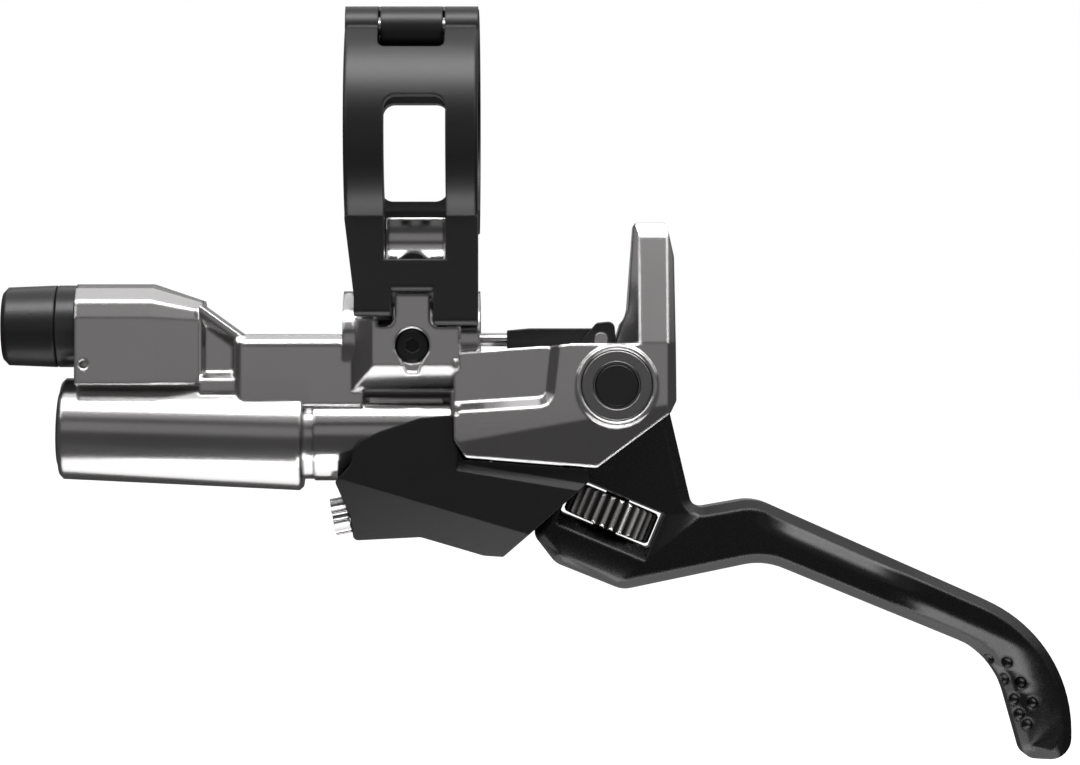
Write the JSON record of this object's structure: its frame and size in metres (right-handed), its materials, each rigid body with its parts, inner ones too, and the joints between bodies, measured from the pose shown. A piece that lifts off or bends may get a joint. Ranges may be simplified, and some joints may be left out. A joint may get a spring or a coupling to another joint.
{
  "type": "bicycle hydraulic brake lever",
  "caption": "Hydraulic flat-bar brake lever: polished body with reservoir barrel, hinged bar clamp, one-finger blade, reach wheel, inner link, pushrod and piston.",
  "frame": {"origin": "on the handlebar's axis at the middle of the clamp's width", "axes": "+X along the handlebar towards its end, +Z from the lever towards the bar, +Y away from the side that the picture shows"},
  "size_m": [0.1276, 0.0296, 0.0899],
  "materials": {
    "polished_alloy": "polished and clear anodised",
    "black_anodised": "satin black anodised",
    "black_blade": "satin black anodised",
    "black_plastic": "moulded black",
    "black_steel": "black oxide",
    "bright_steel": "turned",
    "grey_alloy": "dark grey anodised",
    "knurled_alloy": "knurled",
    "rubber": "moulded",
    "bearing_plastic": "turned bearing polymer"
  },
  "bodies": {
    "body": {"housing": "polished_alloy", "clamp_band_front": "black_anodised", "clamp_band_rear": "black_anodised", "clamp_hinge_pin": "bright_steel", "clamp_bolt": "black_steel", "hose_nut": "grey_alloy", "hose_nut_boot": "black_plastic", "reservoir_cap": "grey_alloy", "reservoir_seal": "rubber", "reservoir_bladder": "rubber", "bleed_screw": "black_steel", "return_spring": "bright_steel", "piston_retainer": "bright_steel", "pivot_bushing_front": "grey_alloy", "pivot_bushing_rear": "grey_alloy", "pivot_axle": "black_steel", "axle_clip": "black_steel", "linkage_cover": "black_plastic", "cover_screw": "bright_steel"},
    "link": {"swing_link": "black_anodised", "link_bushing": "bearing_plastic", "pushrod_pin": "bright_steel"},
    "pushrod": {"pushrod": "bright_steel", "pushrod_clevis": "black_steel"},
    "piston": {"piston": "grey_alloy", "primary_seal": "rubber", "secondary_seal": "rubber"},
    "blade": {"lever_blade": "black_blade", "blade_bushings": "bearing_plastic"},
    "knob": {"reach_knob": "knurled_alloy"},
    "screw": {"reach_screw": "black_steel"}
  },
  "joints": [
    {"name": "lever_pull", "type": "hinge", "parent": "body", "child": "link", "pos_m": [0.02424, 0, -0.0306], "axis": [0, -1, 0], "range_deg": [0, 20], "stiffness_Nm_per_rad": 0.02},
    {"name": "knob_turn", "type": "hinge", "parent": "blade", "child": "knob", "pos_m": [0.0237, 0, -0.0458], "axis": [0.385, 0, 0.9229], "range_deg": [-360, 360]},
    {"name": "reach_adjust", "type": "hinge", "parent": "link", "child": "blade", "pos_m": [0.02424, 0, -0.0306], "axis": [0, -1, 0], "range_deg": [-7.33, 7.33]},
    {"name": "reach_screw_slide", "type": "slide", "parent": "blade", "child": "screw", "axis": [0.385, 0, 0.9229], "range_m": [-0.00069, 0.00069]},
    {"name": "pushrod_swing", "type": "hinge", "parent": "link", "child": "pushrod", "pos_m": [0.02245, 0, -0.0251], "axis": [0, -1, 0], "range_deg": [-23.1, 0]},
    {"name": "piston_slide", "type": "slide", "parent": "body", "child": "piston", "axis": [-1, 0, 0], "range_m": [0, 0.00176], "deforming": ["return_spring"]}
  ],
  "couplings": [
    {"joint": "reach_adjust", "follows": "knob_turn", "ratio": -0.020217},
    {"joint": "reach_screw_slide", "follows": "knob_turn", "m_per_rad": 0.00010823},
    {"joint": "pushrod_swing", "follows": "lever_pull", "ratio": -1.1515},
    {"joint": "piston_slide", "follows": "lever_pull", "m_per_rad": 0.005008}
  ]
}
